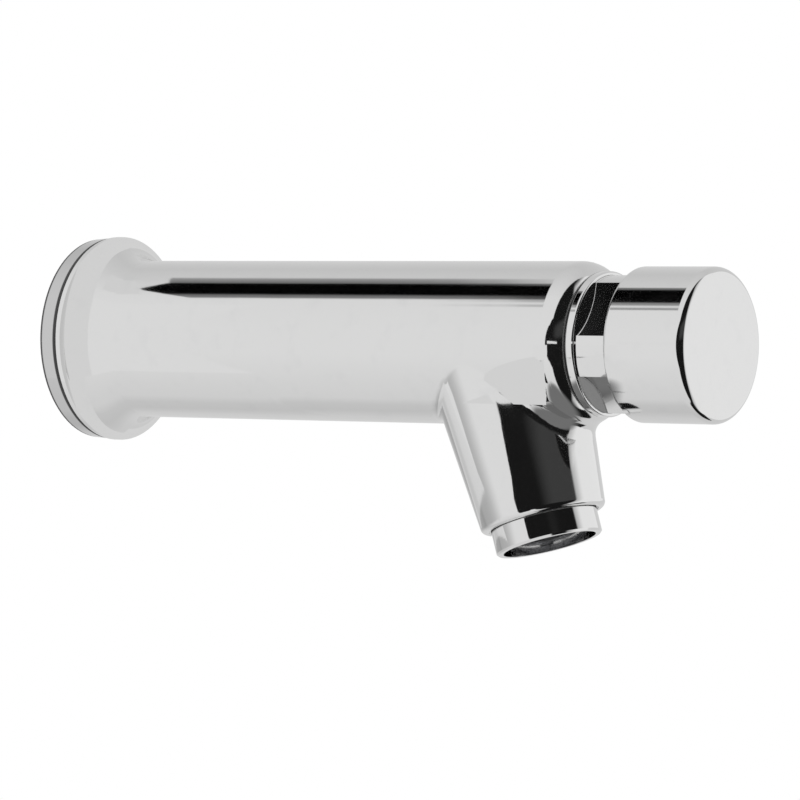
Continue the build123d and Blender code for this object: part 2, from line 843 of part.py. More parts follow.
# Push button: a turned cap that runs over the neck
button_bore_r = button_r - button_wall
with BuildPart() as push_button:
    turn(
        (button_back, button_bore_r),
        (button_back, button_r),
        (button_front, button_r),
        (button_front, 0),
        (insert_front, 0),
        (insert_front, button_bore_r),
    )
    rims = push_button.edges().filter_by(GeomType.CIRCLE).group_by(Axis.X)
    fillet(rims[-1].sort_by(SortBy.RADIUS)[-1], button_front_round)
    fillet(rims[0].sort_by(SortBy.RADIUS)[-1], button_back_round)
push_button.part.label = "push_button"
export_step(push_button.part, "parts/push_button.step")

# Button insert: the core in the button that the stem screws into
insert_r = button_bore_r - fit_gap
insert_ring_back = insert_back + insert_ring_station
insert_ring_front = insert_ring_back + insert_ring_section + 2 * fit_gap
with BuildPart() as button_insert:
    turn(
        (boss_back, stem_r + fit_gap),
        (boss_back, insert_boss_r),
        (insert_back, insert_boss_r),
        (insert_back, insert_r),
        (insert_ring_back, insert_r),
        (insert_ring_back, insert_r - insert_ring_section - fit_gap),
        (insert_ring_front, insert_r - insert_ring_section - fit_gap),
        (insert_ring_front, insert_r),
        (insert_front, insert_r),
        (insert_front, 0),
        (insert_front - insert_floor, 0),
        (insert_front - insert_floor, stem_r + fit_gap),
    )
button_insert.part.label = "button_insert"
export_step(button_insert.part, "parts/button_insert.step")

# Insert ring: the round ring that grips the button on its insert
with BuildPart() as insert_ring:
    o_ring(
        (insert_ring_back + insert_ring_front) / 2,
        insert_r - insert_ring_section / 2,
        insert_ring_section / 2,
    )
insert_ring.part.label = "insert_ring"
export_step(insert_ring.part, "parts/insert_ring.step")

# Aerator housing: screws into the spout's mouth, its skirt shows below the rim
with BuildPart() as aerator_housing:
    turn_spout(
        (housing_top, aerator_bore_r),
        (housing_top, aerator_thread_r - edge),
        (housing_top + edge, aerator_thread_r),
        *thread(
            housing_top + edge,
            mouth_seat - edge,
            aerator_thread_r,
            aerator_thread_pitch,
            aerator_thread_depth,
        ),
        (mouth_seat, aerator_thread_r),
        (mouth_seat, aerator_skirt_r),
        (housing_end - edge, aerator_skirt_r),
        (housing_end, aerator_skirt_r - edge),
        (housing_end, aerator_mouth_r),
        (lip_bottom, aerator_mouth_r),
        (lip_bottom, aerator_lip_r),
        (lip_top, aerator_lip_r),
        (lip_top, aerator_bore_r),
    )
aerator_housing.part.label = "aerator_housing"
export_step(aerator_housing.part, "parts/aerator_housing.step")

# Aerator washer, between the housing and the end of the spout's waterway
with BuildPart() as aerator_washer:
    turn_spout(*tube(recess_top, housing_top, waterway_r, recess_r - fit_gap))
aerator_washer.part.label = "aerator_washer"
export_step(aerator_washer.part, "parts/aerator_washer.step")

# Aerator insert: a ring of jets round a grid, with a pocket for the flow regulator
regulator_seat = insert_top + regulator_height
grid_r = regulator_r - edge * 2
grid_pitch = 2 * grid_r / insert_grid_count
with BuildPart() as aerator_insert:
    turn_spout(*tube(insert_top, lip_top, 0, aerator_bore_r - fit_gap))
    turn_spout(*tube(insert_top, regulator_seat, 0, regulator_r + fit_gap), mode=Mode.SUBTRACT)
    with BuildSketch(spout_frame.offset(insert_top)):
        with PolarLocations(insert_jet_ring_r, insert_jet_count):
            Circle(insert_jet_r)
    extrude(amount=insert_height, mode=Mode.SUBTRACT)
    with BuildSketch(spout_frame.offset(regulator_seat)):
        Circle(grid_r)
        with GridLocations(grid_pitch, 0, insert_grid_count - 1, 1):
            Rectangle(insert_grid_width, 2 * grid_r, mode=Mode.SUBTRACT)
        with GridLocations(0, grid_pitch, 1, insert_grid_count - 1):
            Rectangle(2 * grid_r, insert_grid_width, mode=Mode.SUBTRACT)
    extrude(amount=lip_top - regulator_seat, mode=Mode.SUBTRACT)
aerator_insert.part.label = "aerator_insert"
export_step(aerator_insert.part, "parts/aerator_insert.step")

# Flow regulator: the drilled disc in the insert's pocket
with BuildPart() as flow_regulator:
    turn_spout(*tube(insert_top, regulator_seat, 0, regulator_r))
    with BuildSketch(spout_frame.offset(insert_top)):
        with PolarLocations((regulator_r - regulator_hole_r) * 2 / 3, regulator_hole_count):
            Circle(regulator_hole_r)
    extrude(amount=regulator_height, mode=Mode.SUBTRACT)
flow_regulator.part.label = "flow_regulator"
export_step(flow_regulator.part, "parts/flow_regulator.step")

# Aerator screen: the perforated disc on top of the insert
with BuildPart() as aerator_screen:
    turn_spout(*tube(insert_top - screen_thickness, insert_top, 0, aerator_bore_r - fit_gap))
    with BuildSketch(spout_frame.offset(insert_top - screen_thickness)):
        Circle(screen_hole_r)
        for ring in range(1, screen_rings + 1):
            with PolarLocations(ring * screen_pitch, 6 * ring):
                Circle(screen_hole_r)
    extrude(amount=screen_thickness, mode=Mode.SUBTRACT)
aerator_screen.part.label = "aerator_screen"
export_step(aerator_screen.part, "parts/aerator_screen.step")
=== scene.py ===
import json
from math import cos, pi, radians, sin

import bmesh
import bpy
from mathutils import Matrix, Vector


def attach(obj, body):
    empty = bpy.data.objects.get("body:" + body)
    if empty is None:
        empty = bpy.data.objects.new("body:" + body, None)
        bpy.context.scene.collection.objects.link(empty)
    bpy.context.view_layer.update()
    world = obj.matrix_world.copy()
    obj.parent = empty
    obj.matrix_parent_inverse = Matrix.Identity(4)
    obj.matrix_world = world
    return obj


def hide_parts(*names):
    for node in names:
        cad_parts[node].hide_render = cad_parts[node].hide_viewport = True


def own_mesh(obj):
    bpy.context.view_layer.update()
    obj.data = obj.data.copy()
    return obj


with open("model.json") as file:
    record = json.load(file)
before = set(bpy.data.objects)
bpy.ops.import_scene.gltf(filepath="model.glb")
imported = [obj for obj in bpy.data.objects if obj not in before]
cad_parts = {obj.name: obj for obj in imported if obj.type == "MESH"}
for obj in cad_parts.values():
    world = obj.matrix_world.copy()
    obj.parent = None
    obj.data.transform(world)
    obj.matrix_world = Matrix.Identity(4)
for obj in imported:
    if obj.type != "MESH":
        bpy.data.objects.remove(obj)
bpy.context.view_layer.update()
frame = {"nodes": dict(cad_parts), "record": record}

nodes = frame["nodes"]
slots = {part["node"]: part["material_slot"] for part in frame["record"]["subparts"]}
mm = 0.001

# The tap's axis runs along X from the wall. The spout's axis leaves it here, tilted forwards.
tap_axis = ((0, 0, 0), (1, 0, 0))
spout_tilt = radians(17.8)
spout_axis = ((117.1, 0, 0), (sin(spout_tilt), 0, -cos(spout_tilt)))


# Node building
class Wire:
    """An output socket. Sums written with it add Math nodes."""

    def __init__(self, wiring, socket):
        self.wiring = wiring
        self.socket = socket

    def math(self, operation, *values):
        return self.wiring.add("ShaderNodeMath", {"operation": operation}, dict(enumerate(values)))

    def __add__(self, other):
        return self.math("ADD", self, other)

    def __radd__(self, other):
        return self.math("ADD", other, self)

    def __sub__(self, other):
        return self.math("SUBTRACT", self, other)

    def __rsub__(self, other):
        return self.math("SUBTRACT", other, self)

    def __mul__(self, other):
        return self.math("MULTIPLY", self, other)

    def __rmul__(self, other):
        return self.math("MULTIPLY", other, self)

    def __truediv__(self, other):
        return self.math("DIVIDE", self, other)

    def __neg__(self):
        return self.math("MULTIPLY", self, -1)


class Wiring:
    """The nodes of one finish, light or Geometry Nodes plan."""

    def __init__(self, tree):
        self.tree = tree
        tree.nodes.clear()

    def add(self, kind, settings, values, output=0):
        """Adds a node, sets it up, then fills or links its sockets."""
        node = self.tree.nodes.new(kind)
        for name, value in settings.items():
            if name == "stops":
                while len(node.color_ramp.elements) < len(value):
                    node.color_ramp.elements.new(0)
                for element, (spot, colour) in zip(node.color_ramp.elements, value):
                    element.position = spot
                    element.color = colour
            else:
                setattr(node, name, value)
        for name, value in values.items():
            if isinstance(value, Wire):
                self.tree.links.new(value.socket, node.inputs[name])
            else:
                node.inputs[name].default_value = value
        return Wire(self, node.outputs[output]) if node.outputs else None


def root(value):
    return value.math("SQRT", value)


def larger(first, second):
    return first.math("MAXIMUM", first, second)


def step(value, low, high):
    """0 below low, 1 above high and a soft ramp between."""
    return value.wiring.add(
        "ShaderNodeMapRange",
        {"interpolation_type": "SMOOTHSTEP"},
        {"Value": value, "From Min": low, "From Max": high},
    )


def band(value, low, high, soft):
    """1 between low and high."""
    return step(value, low - soft, low + soft) * (1 - step(value, high - soft, high + soft))


def mixed(factor, first, second, settings):
    """Two colours in one Mix node."""
    wiring = first.wiring if isinstance(first, Wire) else factor.wiring
    sockets = {"Factor": factor, "A": first, "B": second}
    return wiring.add("ShaderNodeMix", {"data_type": "RGBA", **settings}, sockets, "Result")


def blend(factor, first, second):
    """Goes from the first colour to the second as the factor goes from 0 to 1."""
    return mixed(factor, first, second, {})


def times(first, second):
    """The first colour, darkened by the second."""
    return mixed(1, first, second, {"blend_type": "MULTIPLY"})


def tones(value, low, high, stops):
    """Grey tones at places between low and high."""
    return value.wiring.add(
        "ShaderNodeValToRGB",
        {"stops": [((spot - low) / (high - low), grey(tone)) for spot, tone in stops]},
        {"Fac": (value - low) / (high - low)},
    )


def grey(tone):
    return (tone, tone, tone, 1)


def vector(wiring, x, y, z):
    return wiring.add("ShaderNodeCombineXYZ", {}, {"X": x, "Y": y, "Z": z})


def separate(wiring, whole):
    return [wiring.add("ShaderNodeSeparateXYZ", {}, {"Vector": whole}, axis) for axis in "XYZ"]


def coordinates(wiring, kind):
    """The three parts of a texture coordinate."""
    return separate(wiring, wiring.add("ShaderNodeTexCoord", {}, {}, kind))


def on_vectors(wiring, operation, values, output=0):
    return wiring.add("ShaderNodeVectorMath", {"operation": operation}, values, output)


# Finishes
class Surface:
    """One finish. Its places are in millimetres, along the axis of its pieces and away from it."""

    def __init__(self, name, axis=tap_axis):
        self.material = bpy.data.materials.new(name)
        self.material.use_nodes = True
        self.wiring = Wiring(self.material.node_tree)
        start, direction = axis
        metres = self.wiring.add("ShaderNodeTexCoord", {}, {}, "Object")
        self.place = on_vectors(self.wiring, "SCALE", {0: metres, "Scale": 1 / mm})
        offset = on_vectors(self.wiring, "SUBTRACT", {0: self.place, 1: start})
        self.along = on_vectors(self.wiring, "DOT_PRODUCT", {0: offset, 1: direction}, "Value")
        length = on_vectors(self.wiring, "LENGTH", {0: offset}, "Value")
        self.radius = root(larger(length * length - self.along * self.along, 0))

    def cloud(self, size, detail=4):
        """Soft noise with features of this size in millimetres."""
        sockets = {"Vector": self.place, "Scale": 1 / size, "Detail": detail, "Roughness": 0.55}
        return self.wiring.add("ShaderNodeTexNoise", {}, sockets)

    def rings(self, pitch):
        """Noise in rings around the axis, as a lathe or a polishing wheel leaves them."""
        return self.wiring.add(
            "ShaderNodeTexNoise",
            {"noise_dimensions": "1D"},
            {"W": (self.along + self.radius) / pitch, "Scale": 1, "Detail": 2},
        )

    def finish(self, colour, metallic, roughness, relief, depth):
        """Closes the finish. The relief's depth is in millimetres."""
        bump = self.wiring.add(
            "ShaderNodeBump", {}, {"Height": relief, "Distance": depth * mm, "Strength": 1}
        )
        shell = self.wiring.add(
            "ShaderNodeBsdfPrincipled",
            {},
            {"Base Color": colour, "Metallic": metallic, "Roughness": roughness, "Normal": bump},
        )
        self.wiring.add("ShaderNodeOutputMaterial", {}, {"Surface": shell})
        return self.material

    def finish_shaded_at_joint(self, colour, roughness, relief, depth, joint, joint_shade_tone):
        """Closes a metal finish, painted dark and dull where the joint to its neighbour is 1: mostly painted
        shade of the gap there.
        """
        colour = blend(joint, colour, grey(joint_shade_tone))
        return self.finish(colour, 1 - 0.6 * joint, roughness + 0.4 * joint, relief, depth)


chrome_tone = (0.8, 0.8, 0.798, 1)
worn_tone = (0.74, 0.742, 0.745, 1)
lathe_depth = 0.0006


def wiped(marks):
    """The tone of chrome, a little duller along the wiping marks."""
    return blend(0.35 * step(marks, 0.5, 0.8), chrome_tone, worn_tone)


def cast_chrome(name):
    """Chrome over a cast and polished body: soft waves, faint wiping marks, painted shade in the gap at the
    collar.
    """
    surface = Surface(name)
    marks = surface.cloud(5)
    # Painted shade in the gap between the body's end and the collar
    joint = step(surface.along, 144.3, 144.6)
    roughness = 0.045 + 0.045 * marks
    waves = surface.cloud(16, detail=1)
    return surface.finish_shaded_at_joint(wiped(marks), roughness, waves, depth=0.03, joint=joint, joint_shade_tone=0.05)


def turned_chrome(name):
    """Chrome over a turned piece: the lathe's rings show very faintly."""
    surface = Surface(name)
    marks = surface.cloud(4)
    rings = surface.rings(0.35)
    roughness = 0.04 + 0.03 * marks + 0.02 * rings
    return surface.finish(wiped(marks), metallic=1, roughness=roughness, relief=rings, depth=lathe_depth)


def chrome_shaded_at_joint(surface, joint, joint_shade_tone, tone=chrome_tone, pitch=0.35, roughness=0.04):
    """Chrome over a turned piece, painted dark where the joint mask is 1, mostly as painted shade in the gap.
    """
    rings = surface.rings(pitch)
    roughness = roughness + 0.03 * surface.cloud(4)
    return surface.finish_shaded_at_joint(tone, roughness, rings, lathe_depth, joint, joint_shade_tone)


def collar_chrome(name):
    """The collar's chrome, with painted shade in the gap at the body."""
    surface = Surface(name)
    # Painted shade in the gap at the body's end
    return chrome_shaded_at_joint(surface, 1 - step(surface.along, 145.4, 145.6), joint_shade_tone=0.05)


def ring_chrome(name):
    """The wall ring's chrome, darker along its back edge at the wall, with painted shade in the groove at the
    flange.
    """
    surface = Surface(name)
    # Darker along the back edge at the wall
    wall_edge_dark = 1 - step(surface.along, 0.35, 0.7)
    # Painted shade in the groove between the ring and the flange
    flange_groove_shade = step(surface.along, 3.8, 4.1)
    joint = larger(wall_edge_dark, flange_groove_shade)
    return chrome_shaded_at_joint(surface, joint, joint_shade_tone=0.06, tone=grey(0.63), pitch=0.4, roughness=0.05)


def aerator_chrome(name):
    """The aerator's chrome, with painted shade in the gap at the spout's rim."""
    surface = Surface(name, spout_axis)
    # Painted shade in the gap at the spout's rim
    return chrome_shaded_at_joint(surface, 1 - step(surface.along, 42.7, 43), joint_shade_tone=0.06)


def turned_brass(name):
    """Bare brass with the lathe's rings, slightly tarnished in places."""
    bright, tarnished = (0.72, 0.56, 0.3, 1), (0.55, 0.39, 0.19, 1)
    surface = Surface(name)
    stain = surface.cloud(3)
    rings = surface.rings(0.22)
    colour = blend(step(stain, 0.4, 0.75), bright, tarnished)
    roughness = 0.2 + 0.12 * rings + 0.12 * stain
    return surface.finish(colour, metallic=1, roughness=roughness, relief=rings, depth=0.006)


def moulded_rubber(name):
    """Matt black rubber with a fine grain and a little dust."""
    clean, dusty = grey(0.035), grey(0.075)
    surface = Surface(name)
    grain = surface.cloud(0.18, detail=3)
    dust = surface.cloud(4)
    colour = blend(step(dust, 0.45, 0.8), clean, dusty)
    return surface.finish(colour, metallic=0, roughness=0.6 + 0.2 * dust, relief=grain, depth=0.02)


def drawn_steel(name):
    """Spring wire with fine lines."""
    bright, dull = (0.62, 0.62, 0.63, 1), (0.5, 0.5, 0.52, 1)
    surface = Surface(name)
    lines = surface.rings(0.1)
    colour = blend(lines, bright, dull)
    return surface.finish(colour, metallic=1, roughness=0.22 + 0.14 * lines, relief=lines, depth=0.003)


def plain_stainless(name):
    """Stainless sheet and wire, slightly dulled by water."""
    bright, dull = (0.62, 0.62, 0.61, 1), (0.5, 0.49, 0.47, 1)
    surface = Surface(name)
    stain = surface.cloud(1.6)
    colour = blend(step(stain, 0.4, 0.7), bright, dull)
    grain = surface.cloud(0.3, detail=2)
    return surface.finish(colour, metallic=1, roughness=0.25 + 0.18 * stain, relief=grain, depth=0.004)


def moulded_plastic(name, axis, light, shade, roughness):
    """Moulded plastic with a fine spark-eroded grain and soft flow marks."""
    surface = Surface(name, axis)
    flow = surface.cloud(5, detail=3)
    grain = surface.cloud(0.15, detail=2)
    colour = blend(step(flow, 0.35, 0.7), light, shade)
    roughness = roughness + 0.12 * flow
    return surface.finish(colour, metallic=0, roughness=roughness, relief=grain, depth=0.008)


def white_plastic(name):
    light, shade = (0.86, 0.87, 0.88, 1), (0.8, 0.8, 0.79, 1)
    return moulded_plastic(name, tap_axis, light, shade, roughness=0.35)


def grey_plastic(name):
    light, shade = (0.24, 0.245, 0.26, 1), (0.17, 0.17, 0.18, 1)
    return moulded_plastic(name, spout_axis, light, shade, roughness=0.4)


makers = {
    "body_chrome": cast_chrome,
    "ring_chrome": ring_chrome,
    "bonnet_chrome": turned_chrome,
    "collar_chrome": collar_chrome,
    "button_chrome": turned_chrome,
    "aerator_chrome": aerator_chrome,
    "turned_brass": turned_brass,
    "rubber": moulded_rubber,
    "spring_steel": drawn_steel,
    "stainless": plain_stainless,
    "white_plastic": white_plastic,
    "grey_plastic": grey_plastic,
}
finishes = {slot: make(slot) for slot, make in makers.items()}
for name, node in nodes.items():
    node.data.materials.clear()
    node.data.materials.append(finishes[slots[name]])


# Finer pieces in place of the plain ones
class Turned:
    """Rings of points around an axis, in millimetres, joined into a skin."""

    def __init__(self, columns, axis=tap_axis):
        self.columns = columns
        self.start, self.forward = Vector(axis[0]), Vector(axis[1])
        self.side = Vector((0, 1, 0))
        self.other = self.forward.cross(self.side)
        self.points = []
        self.faces = []
        self.known = {}

    def spot(self, along, radius, column):
        """The number of a point. Points at the same place are one point."""
        key = (round(along, 4), round(radius, 4), column % self.columns)
        if key not in self.known:
            turn = 2 * pi * key[2] / self.columns
            outwards = cos(turn) * self.side + sin(turn) * self.other
            self.known[key] = len(self.points)
            self.points.append((self.start + key[0] * self.forward + key[1] * outwards) * mm)
        return self.known[key]

    def row(self, spot_at):
        """One more point than columns. The last is the first again, or is a turn further on a thread."""
        return [self.spot(*spot_at(column), column) for column in range(self.columns + 1)]

    def skin(self, rows):
        """Faces between each row and the next."""
        for first, second in zip(rows, rows[1:]):
            for here in range(self.columns):
                corners = [first[here], first[here + 1], second[here + 1], second[here]]
                corners = [corner for place, corner in enumerate(corners) if corner != corners[place - 1]]
                if len(set(corners)) > 2:
                    self.faces.append(corners)

    def loop(self, profile):
        """A closed ring with this profile of (along, radius)."""
        rows = [self.row(lambda column, corner=corner: corner) for corner in profile]
        self.skin(rows + rows[:1])

    def thread(self, low, high, crest, depth, pitch):
        """A helical thread with flats on its roots and crests. Returns its end rows."""
        # Shares of the pitch and of the depth
        corners = ((0, 0), (0.12, 0), (0.5, 1), (0.62, 1), (1, 0))

        def radius(along, column):
            turn = round((along - low) / pitch - column / self.columns, 6) % 1
            for (before, height), (after, next_height) in zip(corners, corners[1:]):
                if turn <= after:
                    rise = height + (next_height - height) * (turn - before) / (after - before)
                    return crest - depth * (1 - rise)

        def spot_at(turns, column):
            along = min(max(low + pitch * (turns + column / self.columns), low), high)
            return along, radius(along, column)

        rows = []
        for turn in range(-1, int((high - low) / pitch) + 2):
            for corner, _ in corners[:4]:
                rows.append(self.row(lambda column, turns=turn + corner: spot_at(turns, column)))
        self.skin(rows)
        return [self.row(lambda column, end=end: (end, radius(end, column))) for end in (low, high)]

    def mesh(self, name):
        mesh = bpy.data.meshes.new(name)
        mesh.from_pydata(self.points, [], self.faces)
        return tidied(mesh)


def tidied(mesh, sharpest=32):
    """Doubles merged, normals outwards, smooth but for the edges sharper than this angle."""
    closest = 0.0005 * mm
    work = bmesh.new()
    work.from_mesh(mesh)
    bmesh.ops.remove_doubles(work, verts=work.verts, dist=closest)
    bmesh.ops.recalc_face_normals(work, faces=work.faces)
    for face in work.faces:
        face.smooth = True
    work.to_mesh(mesh)
    work.free()
    mesh.set_sharp_from_angle(angle=radians(sharpest))
    return mesh


def replace(node, mesh):
    """Puts this mesh in the place of a node."""
    piece = bpy.data.objects.new(node + "_fine", mesh)
    bpy.context.scene.collection.objects.link(piece)
    mesh.materials.clear()
    mesh.materials.append(finishes[slots[node]])
    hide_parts(node)
    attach(piece, "tap")
    return piece


def grown(node, base, sizes, draw):
    """Adds to a base mesh what a Geometry Nodes plan draws, then replaces the node with it."""
    plan = bpy.data.node_groups.new(node + "_plan", "GeometryNodeTree")
    plan.interface.new_socket("Geometry", in_out="OUTPUT", socket_type="NodeSocketGeometry")
    plan.interface.new_socket("Geometry", in_out="INPUT", socket_type="NodeSocketGeometry")
    kinds = {int: "NodeSocketInt", float: "NodeSocketFloat"}
    inputs = {
        name: plan.interface.new_socket(name, in_out="INPUT", socket_type=kinds[type(size)])
        for name, size in sizes.items()
    }
    inputs["finish"] = plan.interface.new_socket("finish", in_out="INPUT", socket_type="NodeSocketMaterial")
    wiring = Wiring(plan)
    given = {name: wiring.add("NodeGroupInput", {}, {}, name) for name in ["Geometry", *inputs]}
    both = joined(wiring, [given["Geometry"], draw(wiring, given)])
    whole = wiring.add("GeometryNodeRealizeInstances", {}, {"Geometry": both})
    coated = wiring.add("GeometryNodeSetMaterial", {}, {"Geometry": whole, "Material": given["finish"]})
    wiring.add("NodeGroupOutput", {}, {"Geometry": coated})
    seed = bpy.data.objects.new(node + "_seed", base)
    bpy.context.scene.collection.objects.link(seed)
    modifier = seed.modifiers.new("plan", "NODES")
    modifier.node_group = plan
    for name, size in sizes.items():
        modifier[inputs[name].identifier] = size
    modifier[inputs["finish"].identifier] = finishes[slots[node]]
    evaluated = seed.evaluated_get(bpy.context.evaluated_depsgraph_get())
    mesh = bpy.data.meshes.new_from_object(evaluated)
    seed.modifiers.remove(modifier)
    bpy.data.objects.remove(seed)
    replace(node, tidied(mesh))


def joined(wiring, shapes):
    joint = wiring.add("GeometryNodeJoinGeometry", {}, {})
    for shape in shapes:
        wiring.tree.links.new(shape.socket, joint.socket.node.inputs[0])
    return joint


def moved(wiring, shape, translation=(0, 0, 0), rotation=(0, 0, 0), scale=(1, 1, 1)):
    places = {"Geometry": shape, "Translation": translation, "Rotation": rotation, "Scale": scale}
    return wiring.add("GeometryNodeTransform", {}, places)


def laid(wiring, shape, axis_turn, start):
    """From millimetres along Z to metres along the piece's axis."""
    return moved(wiring, shape, [value * mm for value in start], (0, axis_turn, 0), (mm, mm, mm))


def rod(wiring, radius, length):
    sizes = {"Vertices": 6, "Radius": radius, "Depth": length}
    return wiring.add("GeometryNodeMeshCylinder", {}, sizes)


def slab(wiring, size, middle):
    """A block of this size around this middle."""
    block = wiring.add("GeometryNodeMeshCube", {}, {"Size": vector(wiring, *size)})
    return moved(wiring, block, vector(wiring, *middle))


def swept(wiring, curve, thickness, sides=6):
    """A round wire along a curve."""
    circle = {"Resolution": sides, "Radius": thickness}
    section = wiring.add("GeometryNodeCurvePrimitiveCircle", {}, circle)
    wire = {"Curve": curve, "Profile Curve": section, "Fill Caps": True}
    return wiring.add("GeometryNodeCurveToMesh", {}, wire)


def points_in_line(wiring, count, start, offset):
    places = {"Count": count, "Start Location": start, "Offset": offset}
    return wiring.add("GeometryNodeMeshLine", {}, places)


def at_points(wiring, points, shape, **turns_or_scales):
    """A copy of a shape at each point."""
    sockets = {"Points": points, "Instance": shape, **turns_or_scales}
    return wiring.add("GeometryNodeInstanceOnPoints", {}, sockets)


def around(wiring, shape, count):
    """Copies of a shape turned around Z."""
    points = points_in_line(wiring, count, (0, 0, 0), (0, 0, 0))
    turn = wiring.add("GeometryNodeInputIndex", {}, {}) * (2 * pi) / count
    return at_points(wiring, points, shape, Rotation=vector(wiring, 0, 0, turn))


def gauze(wiring, sizes):
    """Wires along and around the strainer's cup, and crossed wires over its end."""
    radius, wire, length = sizes["radius"], sizes["wire"], sizes["length"]
    upright = moved(wiring, rod(wiring, wire, length), vector(wiring, radius, 0, 0.5 * length + wire))
    uprights = around(wiring, upright, sizes["rods"])
    circle = wiring.add("GeometryNodeCurvePrimitiveCircle", {}, {"Resolution": 64, "Radius": radius})
    level = vector(wiring, 0, 0, length / sizes["hoops"])
    levels = points_in_line(wiring, sizes["hoops"], vector(wiring, 0, 0, wire), level)
    hoops = at_points(wiring, levels, swept(wiring, circle, wire))
    pitch = 2 * radius / (sizes["crossings"] + 1)
    first = vector(wiring, pitch - radius, 0, wire)
    starts = points_in_line(wiring, sizes["crossings"], first, vector(wiring, pitch, 0, 0))
    from_middle = separate(wiring, wiring.add("GeometryNodeInputPosition", {}, {}))[0]
    chord = 2 * root(radius * radius - from_middle * from_middle)
    bar = moved(wiring, rod(wiring, wire, 1), rotation=(pi / 2, 0, 0))
    bars = at_points(wiring, starts, bar, Scale=vector(wiring, 1, chord, 1))
    crossed = moved(wiring, bars, rotation=(0, 0, pi / 2))
    return laid(wiring, joined(wiring, [uprights, hoops, bars, crossed]), pi / 2, (0, 0, 0))


def sealing_ribs(wiring, sizes):
    """A fine spiral rib on each face of the wall gasket."""
    spiral = wiring.add(
        "GeometryNodeCurveSpiral",
        {},
        {
            "Resolution": 96,
            "Rotations": sizes["turns"],
            "Start Radius": sizes["inner"],
            "End Radius": sizes["outer"],
            "Height": 0,
        },
    )
    rib = swept(wiring, spiral, sizes["rib"], sides=4)
    faces = [moved(wiring, rib, vector(wiring, 0, 0, sizes[face])) for face in ("low_face", "high_face")]
    return laid(wiring, joined(wiring, faces), pi / 2, (0, 0, 0))


def jet_former(wiring, sizes):
    """Radial vanes between the insert's two walls and a honeycomb inside the inner one."""
    low, high, inner, outer = [sizes[name] for name in ("low", "high", "inner", "outer")]
    thickness, cell, count = sizes["sheet"], sizes["cell"], sizes["rows"]
    vane_size = (outer - inner, thickness, high - low)
    vane = slab(wiring, vane_size, (0.5 * (inner + outer), 0, 0.5 * (low + high)))
    vanes = around(wiring, vane, sizes["vanes"])
    # Three sides a cell, a little longer than a hexagon's so that they meet
    side_length = 0.62 * cell
    depth = 2.6
    side = slab(wiring, (thickness, side_length, depth), (0.5 * cell, 0, high - 0.5 * depth))
    sides = [moved(wiring, side, rotation=(0, 0, turn * pi / 3)) for turn in range(3)]
    row_gap = 0.866 * cell
    grid_size = {"Size X": cell * (count - 1), "Size Y": row_gap * (count - 1)}
    grid = wiring.add("GeometryNodeMeshGrid", {}, {**grid_size, "Vertices X": count, "Vertices Y": count})
    # Every second row is half a cell further on
    place = wiring.add("GeometryNodeInputPosition", {}, {})
    row = separate(wiring, place)[1] / row_gap
    row = row.math("ROUND", row + 0.001)
    shift = row.math("FLOORED_MODULO", row, 2) * 0.5 * cell
    shifted = {"Geometry": grid, "Offset": vector(wiring, shift, 0, 0)}
    grid = wiring.add("GeometryNodeSetPosition", {}, shifted)
    reach = on_vectors(wiring, "LENGTH", {0: place}, "Value")
    outside = reach.math("GREATER_THAN", reach, inner - 0.6 * cell)
    grid = wiring.add("GeometryNodeDeleteGeometry", {}, {"Geometry": grid, "Selection": outside})
    cells = at_points(wiring, grid, joined(wiring, sides))
    return laid(wiring, joined(wiring, [vanes, cells]), pi - spout_tilt, spout_axis[0])


def ringed(name, profiles, axis=tap_axis, columns=96):
    """Closed rings with these profiles, in one mesh."""
    rings = Turned(columns, axis)
    for profile in profiles:
        rings.loop(profile)
    return rings.mesh(name)


# Inlet spigot: the wall's thread, a finer one into the body, and a hexagon for the key in its bore
wall_end = -16
body_end = 18
key_depth = -9
key_reach = 7.2
bore = 7
groove = 9.2
crest = 10.4775
thread_depth = 1.162
thread_pitch = 1.814
spigot = Turned(columns=144)
wall_thread = spigot.thread(-14.84, -1.2, crest, thread_depth, thread_pitch)
body_thread = spigot.thread(low=5.7, high=17.6, crest=10, depth=0.8, pitch=1.5)


def plain_row(along, radius):
    return spigot.row(lambda column: (along, radius))


def hexagon_row(along):
    def corner(column):
        turn = 2 * pi * column / spigot.columns + pi / 6
        return along, key_reach / cos(turn % (pi / 3) - pi / 6)

    return spigot.row(corner)


wall_rim = plain_row(wall_end, crest - thread_depth)
spigot.skin([wall_rim, wall_thread[0]])
middle = [plain_row(*corner) for corner in ((-0.9, crest), (1.2, crest), (1.2, groove), (5.6, groove))]
spigot.skin([wall_thread[1], *middle, body_thread[0]])
body_rim = [plain_row(*corner) for corner in ((body_end, 9.4), (body_end, bore), (key_depth, bore))]
spigot.skin([body_thread[1], *body_rim])
spigot.skin([body_rim[-1], hexagon_row(key_depth), hexagon_row(wall_end), wall_rim])
replace("inlet_spigot", spigot.mesh("inlet_spigot_fine"))

# Inlet strainer: a gauze cup under a brim
brim = [(17.2, 6.25), (17.2, 6.6), (18, 6.6), (18, 9.6), (18.5, 9.6), (18.5, 6.25)]
gauze_sizes = {"radius": 6.42, "wire": 0.11, "length": 17.3, "rods": 56, "hoops": 24, "crossings": 17}
grown("inlet_strainer", ringed("brim", [brim]), gauze_sizes, gauze)

# Wall gasket: a flat ring with a spiral rib on each face
flat_ring = [(0.3, 15.55), (0.3, 21.45), (1.7, 21.45), (1.7, 15.55)]
rib_sizes = {"turns": 6.0, "inner": 16.2, "outer": 20.8, "rib": 0.28, "low_face": 0.29, "high_face": 1.71}
grown("wall_gasket", ringed("gasket", [flat_ring]), rib_sizes, sealing_ribs)

